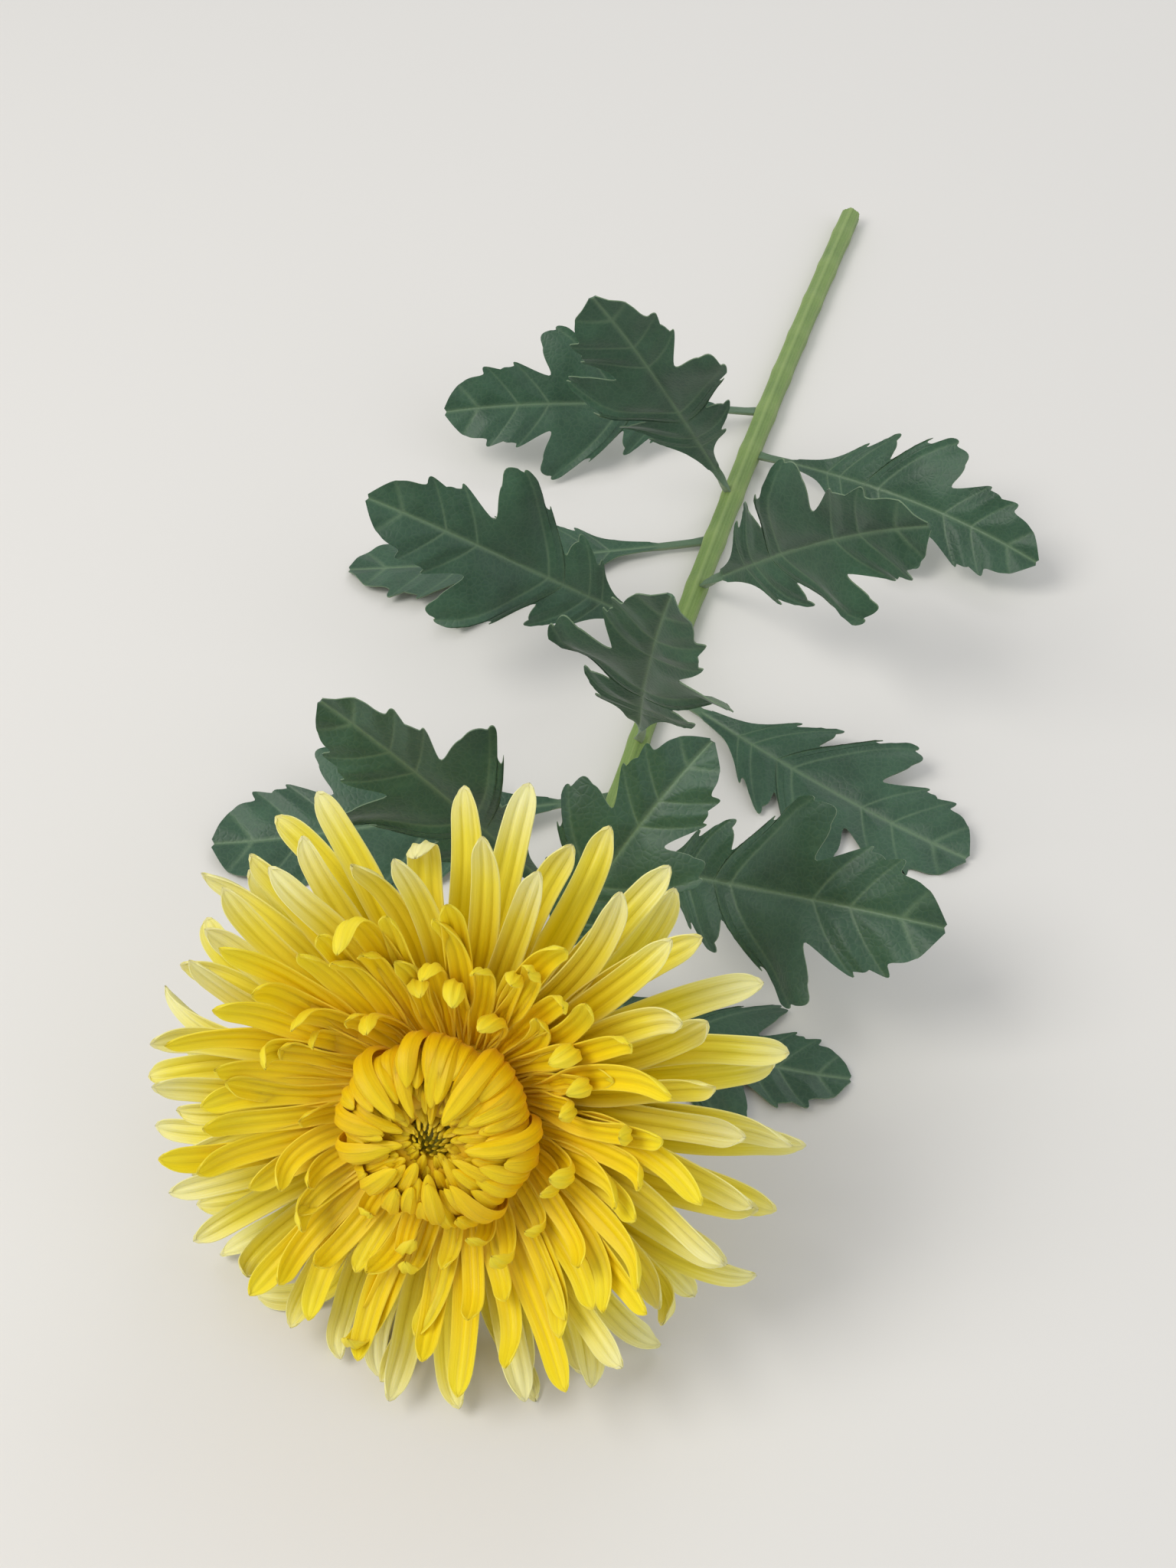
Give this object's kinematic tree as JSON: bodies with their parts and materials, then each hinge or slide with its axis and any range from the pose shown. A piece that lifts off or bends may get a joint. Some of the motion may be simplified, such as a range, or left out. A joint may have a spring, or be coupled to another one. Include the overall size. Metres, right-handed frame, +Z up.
{
  "type": "single chrysanthemum",
  "caption": "Cut single-headed chrysanthemum lying on its side: large yellow bloom with long strap rays round an incurved dome and green eye, ribbed stem, lobed leaves.",
  "frame": {"origin": "on the surface the flower lies on, under the middle of its box", "axes": "+Z up from the surface, +Y along the stem from the bloom to the cut end"},
  "size_m": [0.2274, 0.5338, 0.1254],
  "materials": {
    "outer_rays": "soft satin petals, pale lemon with creamy edges and a golden foot",
    "middle_rays": "soft satin petals, golden yellow",
    "inner_florets": "soft satin incurved petals, deep golden yellow",
    "green_eye": "small unopened florets, yellow green",
    "green_cup": "matte mid-green bracts with thin paler edges",
    "stem": "ribbed satin green stem with fine down",
    "leaf": "matte dark bluish green blade, paler veins and underside"
  },
  "bodies": {
    "root": {"green_cup": "green_cup", "outer_rays": "outer_rays", "middle_rays": "middle_rays", "inner_florets": "inner_florets", "green_eye": "green_eye", "stem": "stem", "leaf_01": "leaf", "leaf_02": "leaf", "leaf_03": "leaf", "leaf_04": "leaf", "leaf_05": "leaf", "leaf_06": "leaf", "leaf_07": "leaf", "leaf_08": "leaf", "leaf_09": "leaf", "leaf_10": "leaf", "leaf_11": "leaf", "leaf_12": "leaf", "leaf_13": "leaf"}
  },
  "joints": []
}
